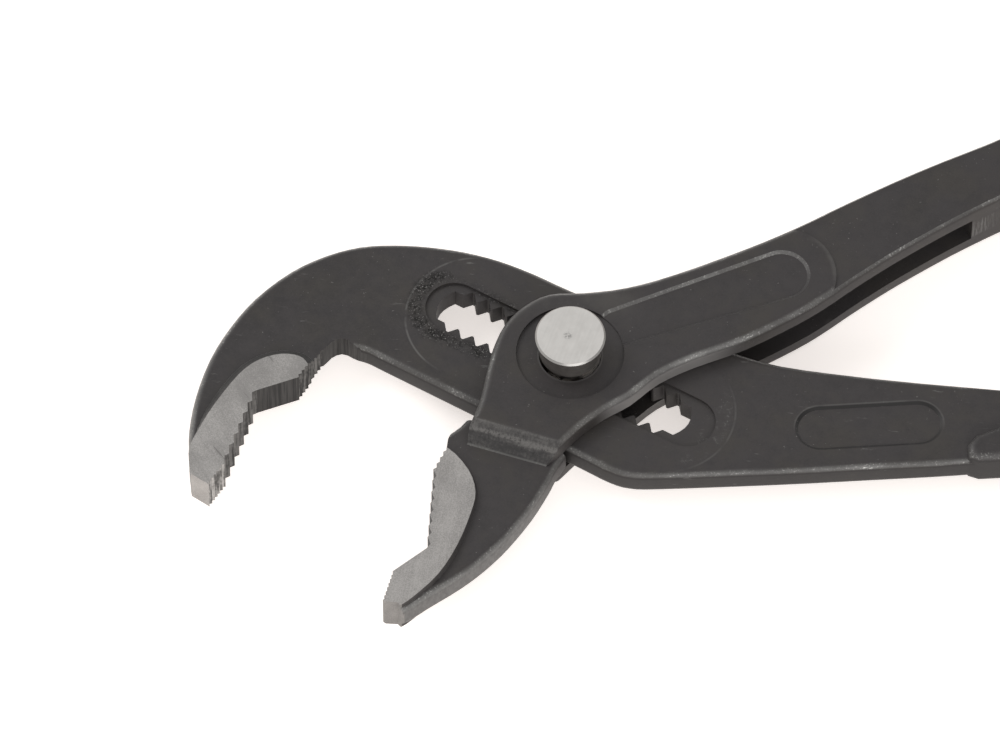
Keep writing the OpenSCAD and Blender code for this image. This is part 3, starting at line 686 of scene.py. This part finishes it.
def coil_tree():
    """Node tree of a wound spring."""
    tree = bpy.data.node_groups.new("wound_spring", "GeometryNodeTree")
    inputs = {"Coil Radius": "NodeSocketFloat", "Length": "NodeSocketFloat",
              "Turns": "NodeSocketFloat", "Wire Radius": "NodeSocketFloat",
              "Low End": "NodeSocketVector", "Finish": "NodeSocketMaterial"}
    for name, kind in inputs.items():
        tree.interface.new_socket(name, in_out="INPUT", socket_type=kind)
    tree.interface.new_socket("Spring", in_out="OUTPUT", socket_type="NodeSocketGeometry")
    g = Nodes(tree)
    radius, length, turns, wire_radius, low_end, finish = (
        g.node("NodeGroupInput", out=name) for name in inputs)
    helix = g.node("GeometryNodeCurveSpiral",
                   named={"Resolution": 28, "Rotations": turns, "Start Radius": radius,
                          "End Radius": radius, "Height": length})
    moved = g.node("GeometryNodeSetPosition", named={"Geometry": helix, "Offset": low_end})
    wire = g.node("GeometryNodeCurvePrimitiveCircle",
                  named={"Resolution": 10, "Radius": wire_radius})
    tube = g.node("GeometryNodeCurveToMesh",
                  named={"Curve": moved, "Profile Curve": wire, "Fill Caps": True})
    smooth = g.node("GeometryNodeSetShadeSmooth", named={"Geometry": tube})
    whole = g.node("GeometryNodeRealizeInstances", named={"Geometry": smooth})
    coloured = g.node("GeometryNodeSetMaterial", named={"Geometry": whole, "Material": finish})
    g.node("NodeGroupOutput", None, coloured)
    return tree


def wound_spring(name, node, body, finish):
    """The return spring as round wire, as long and as wide as its CAD node."""
    low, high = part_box(node)
    maker = bpy.data.objects.new(name + "_maker", bpy.data.meshes.new(name + "_maker"))
    bpy.context.scene.collection.objects.link(maker)
    grow = maker.modifiers.new("coil", "NODES")
    grow.node_group = coil_tree()
    values = {"Coil Radius": (high.x - low.x) / 2 - WIRE_R, "Length": high.z - low.z - 2 * WIRE_R,
              "Turns": COILS, "Wire Radius": WIRE_R, "Low End": (0.0, 0.0, low.z + WIRE_R),
              "Finish": finish}
    for item in grow.node_group.interface.items_tree:
        if item.in_out == "INPUT":
            grow[item.identifier] = values[item.name]
    shaped = maker.evaluated_get(bpy.context.evaluated_depsgraph_get())
    mesh = bpy.data.meshes.new_from_object(shaped)
    mesh.name = name
    bpy.data.objects.remove(maker)
    piece = placed(name, mesh, node, body)
    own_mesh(piece)


dressed("upper_forging", "outer_arm", "fixed_arm",
        [COAT, FIXED_PAD, TEETH, FINE_TEETH, WALL, FIXED_TIP, GULLET_SHADE, SHELF],
        jaw_face(FIXED, fixed=True))
dressed("lower_forging", "inner_arm", "sliding_arm",
        [BLADE_COAT, HOOK_PAD, TEETH, FINE_TEETH, WALL, HOOK_TIP],
        jaw_face(HOOK, fixed=False))
dressed("button", "push_button", "bolt", [SATIN, BUTTON_EDGE, STEM], button_face)
dressed("bolt_shank", "hinge_bolt", "bolt", [STEM])
dressed("rear_disc", "rear_cap", "joint_core", [OILED])
dressed("snap_ring", "retaining_ring", "fixed_arm", [OILED])
wound_spring("coil_spring", "return_spring", "joint_core", OILED)
dressed("upper_sleeve", "upper_grip", "fixed_arm", [GRIP], smooth=50)
dressed("lower_sleeve", "lower_grip", "sliding_arm", [GRIP], smooth=50)


# Stage: pale floor, soft light and the photograph's view

FLOOR_COLOUR = (0.9, 0.865, 0.84)
FLOOR_GLOW = (0.62, 0.58, 0.555)
FLOOR_HALF = 3.0
FLOOR_GAP = 0.2 * MM
ROOM_LIGHT = 0.55
ROOM_WHITE = 1.0


def seen_ray(f):
    """1 for rays that show the background: from the camera, off metal or through glass."""
    kinds = "Is Camera Ray", "Is Glossy Ray", "Is Transmission Ray"
    camera, glossy, through = (f.node("ShaderNodeLightPath", out=kind) for kind in kinds)
    return f.math("MAXIMUM", f.math("MAXIMUM", camera, glossy), through)


def pale_floor():
    """Pale floor that the camera sees as white in the open, with the object's shadow under it."""
    f = Finish("pale_floor")
    diffuse = f.node("ShaderNodeBsdfDiffuse", None, FLOOR_COLOUR)
    both = f.node("ShaderNodeAddShader", None, diffuse,
                  f.node("ShaderNodeEmission", None, FLOOR_GLOW))
    shown = f.node("ShaderNodeMixShader", None, seen_ray(f), diffuse, both)
    f.node("ShaderNodeOutputMaterial", None, shown)
    mesh = bpy.data.meshes.new("floor")
    corners = (-1, -1), (1, -1), (1, 1), (-1, 1)
    mesh.from_pydata([(x * FLOOR_HALF, y * FLOOR_HALF, 0) for x, y in corners], [], [(0, 1, 2, 3)])
    mesh.materials.append(f.material)
    floor = bpy.data.objects.new("floor", mesh)
    bpy.context.scene.collection.objects.link(floor)
    floor.location.z = -FLOOR_GAP


def white_world():
    """Even light from all sides, white where the background shows."""
    world = bpy.data.worlds.new("white_room")
    bpy.context.scene.world = world
    world.use_nodes = True
    w = Nodes(world.node_tree)
    strength = w.node("ShaderNodeMapRange", named={"Value": seen_ray(w), "To Min": ROOM_LIGHT,
                                                   "To Max": ROOM_WHITE})
    w.node("ShaderNodeOutputWorld", None,
           w.node("ShaderNodeBackground", None, (1, 1, 1, 1), strength))


def soft_box(name, place, aim, size, power):
    lamp = bpy.data.lights.new(name, "AREA")
    lamp.shape = "RECTANGLE"
    lamp.size, lamp.size_y = size
    lamp.energy = power
    holder = bpy.data.objects.new(name, lamp)
    bpy.context.scene.collection.objects.link(holder)
    holder.location = place
    holder.rotation_euler = (Vector(aim) - Vector(place)).to_track_quat("-Z", "Y").to_euler()


pale_floor()
white_world()
soft_box("left_box", (-0.75, 0.35, 0.75), (0.02, 0, 0), (0.7, 0.5), 5)
soft_box("front_box", (0.25, -0.9, 0.45), (0, 0, 0), (0.9, 0.4), 5.5)

lens = bpy.data.cameras.new("photo_view")
lens.sensor_width = 36
lens.lens = 352.8
lens.clip_end = 20
view = bpy.data.objects.new("photo_view", lens)
bpy.context.scene.collection.objects.link(view)
view.location = (-0.009943, -0.728777, 1.193818)
view.rotation_euler = (math.radians(31.5), 0, 0)
bpy.context.scene.camera = view
bpy.context.scene.view_settings.view_transform = "Standard"
